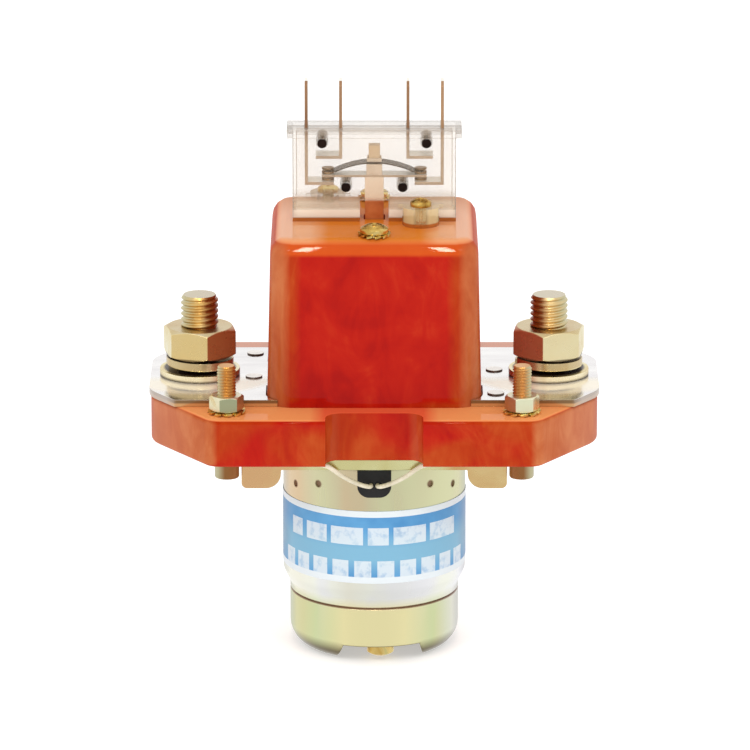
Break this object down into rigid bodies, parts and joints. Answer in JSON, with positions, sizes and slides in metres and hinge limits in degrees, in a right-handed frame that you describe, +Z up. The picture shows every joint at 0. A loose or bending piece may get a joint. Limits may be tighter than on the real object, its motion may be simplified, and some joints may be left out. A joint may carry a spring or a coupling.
{
  "type": "dc contactor",
  "caption": "DC contactor: moulded base with two threaded power studs, two coil studs, a round magnet below and a clear auxiliary switch on top.",
  "frame": {"origin": "centre of the feet of the bottom cap, in the plane they stand on, on the magnet's axis", "axes": "+Z up along the magnet's axis, +X along the line of the two power studs, -Y to the front, where the coil studs are"},
  "size_m": [0.1196, 0.08, 0.1553],
  "materials": {
    "moulding": "glossy moulded polyester with darker and lighter marbling",
    "zinc_yellow": "steel, zinc plated and yellow passivated, with a rainbow sheen",
    "fastener_gold": "golden passivated steel, satin",
    "stud_metal": "copper alloy, satin, threaded",
    "terminal_metal": "bright plated copper plate",
    "contact_silver": "silver alloy, matt",
    "copper": "bare copper",
    "magnet_steel": "plain soft steel",
    "spring_steel": "spring steel wire and strip",
    "bobbin_nylon": "natural nylon",
    "tube_brass": "drawn brass",
    "black_rubber": "black rubber",
    "lead_insulation": "cream insulation",
    "label_print": "printed film, blue with white edges",
    "clear_cover": "clear moulded polycarbonate",
    "plunger_brown": "brown moulded phenolic",
    "leaf_cap_tan": "tan moulded plastic",
    "blade_metal": "tinned brass strip",
    "rivet_black": "blackened rivet"
  },
  "bodies": {
    "root": {"base_flange": "moulding", "housing_cover": "moulding", "cover_screws": "fastener_gold", "cover_lock_washers": "fastener_gold", "terminal_plate_left": "terminal_metal", "terminal_plate_right": "terminal_metal", "plate_rivets": "terminal_metal", "fixed_contact_tips": "contact_silver", "main_studs": "stud_metal", "main_flat_washers": "zinc_yellow", "main_spring_washers": "zinc_yellow", "main_nuts": "zinc_yellow", "coil_studs": "stud_metal", "coil_lock_washers": "fastener_gold", "coil_nuts": "zinc_yellow", "yoke_plate": "zinc_yellow", "yoke_screws": "zinc_yellow", "magnet_can": "zinc_yellow", "label_band": "label_print", "lead_grommet": "black_rubber", "coil_lead_left": "lead_insulation", "coil_lead_right": "lead_insulation", "coil_bobbin": "bobbin_nylon", "coil_winding": "copper", "guide_tube": "tube_brass", "fixed_pole": "magnet_steel", "lower_pole_plate": "magnet_steel", "return_spring": "spring_steel", "armature_buffer": "black_rubber", "bottom_cap": "zinc_yellow", "bottom_screws": "fastener_gold", "aux_front_cover": "clear_cover", "aux_rear_cover": "clear_cover", "aux_box_rivets": "rivet_black", "aux_screws": "fastener_gold", "nc_blade_left": "blade_metal", "nc_blade_right": "blade_metal", "no_blade_left": "blade_metal", "no_blade_right": "blade_metal", "blade_contact_rivets": "contact_silver"},
    "armature": {"armature_core": "magnet_steel", "push_rod": "magnet_steel", "pressure_spring": "spring_steel", "bridge_clip": "spring_steel", "aux_plunger": "plunger_brown", "aux_moving_bar": "blade_metal", "aux_bar_rivets": "contact_silver", "aux_leaf_spring": "spring_steel", "aux_leaf_cap": "leaf_cap_tan"},
    "bridge": {"bridge_bar": "copper", "bridge_contact_tips": "contact_silver"}
  },
  "joints": [
    {"name": "armature_lift", "type": "slide", "parent": "root", "child": "armature", "axis": [0, 0, 1], "range_m": [0, 0.0026], "stiffness_N_per_m": 400, "springref_m": -0.005, "deforming": ["return_spring"]},
    {"name": "bridge_give", "type": "slide", "parent": "armature", "child": "bridge", "axis": [0, 0, 1], "range_m": [-0.001, 0], "stiffness_N_per_m": 4000, "springref_m": 0.002, "deforming": ["pressure_spring"]}
  ]
}
